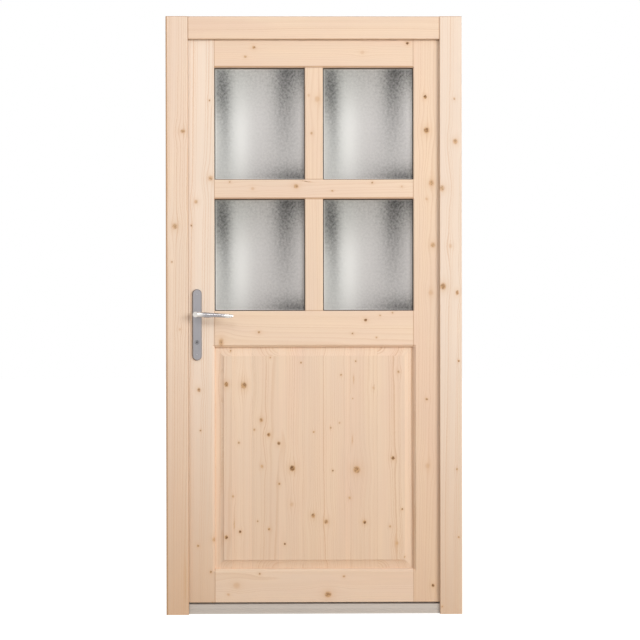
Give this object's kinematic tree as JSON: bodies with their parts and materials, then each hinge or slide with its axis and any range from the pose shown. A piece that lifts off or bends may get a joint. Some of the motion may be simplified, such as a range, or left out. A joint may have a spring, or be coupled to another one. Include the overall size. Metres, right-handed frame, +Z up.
{
  "type": "side door",
  "caption": "Softwood side door in its frame with obscured-glass panes over a raised panel, a lever handle on a long plate, and an inward swing.",
  "frame": {"origin": "middle of the frame's foot, on the underside of the threshold and in the middle of the frame's depth", "axes": "+X to the right seen from outside, +Y inwards, +Z up"},
  "size_m": [0.98, 0.162, 1.98],
  "materials": {
    "spruce": "planed and sanded, untreated",
    "obscured_glass": "patterned, obscured",
    "hinge_steel": "zinc plated",
    "sill_aluminium": "mill finish",
    "sill_plastic": "matt",
    "seal_rubber": "matt",
    "lock_steel": "brushed",
    "satin_fittings": "satin anodised",
    "cylinder_nickel": "nickel plated"
  },
  "bodies": {
    "frame": {"jamb_left": "spruce", "jamb_right": "spruce", "head": "spruce", "cover_left": "spruce", "cover_right": "spruce", "cover_head": "spruce", "threshold_rail": "sill_aluminium", "threshold_core": "sill_plastic", "strike_plate": "lock_steel", "seal_left": "seal_rubber", "seal_right": "seal_rubber", "seal_head": "seal_rubber", "seal_threshold": "seal_rubber", "hinge_low_frame": "hinge_steel", "hinge_mid_frame": "hinge_steel", "hinge_top_frame": "hinge_steel"},
    "leaf": {"lock_stile": "spruce", "hinge_stile": "spruce", "top_rail": "spruce", "crossrail": "spruce", "lock_rail": "spruce", "bottom_rail": "spruce", "glazing_bar_upper": "spruce", "glazing_bar_lower": "spruce", "raised_panel": "spruce", "glass_upper_left": "obscured_glass", "glass_upper_right": "obscured_glass", "glass_lower_left": "obscured_glass", "glass_lower_right": "obscured_glass", "bead_upper_left": "spruce", "bead_upper_right": "spruce", "bead_lower_left": "spruce", "bead_lower_right": "spruce", "hinge_low_leaf": "hinge_steel", "hinge_mid_leaf": "hinge_steel", "hinge_top_leaf": "hinge_steel", "mortice_lock": "lock_steel", "latch_bolt": "lock_steel", "dead_bolt": "lock_steel", "plate_outer": "satin_fittings", "plate_inner": "satin_fittings", "key_cylinder": "cylinder_nickel"},
    "handle": {"lever_outer": "satin_fittings", "lever_inner": "satin_fittings", "spindle": "lock_steel"}
  },
  "joints": [
    {"name": "leaf_hinge", "type": "hinge", "parent": "frame", "child": "leaf", "pos_m": [0.4285, 0.037, 0.97], "axis": [0, 0, -1], "range_deg": [0, 110]},
    {"name": "lever_turn", "type": "hinge", "parent": "leaf", "child": "handle", "pos_m": [-0.388, 0, 0.994], "axis": [0, 1, 0], "range_deg": [0, 40], "stiffness_Nm_per_rad": 1, "springref_deg": -34.38}
  ]
}
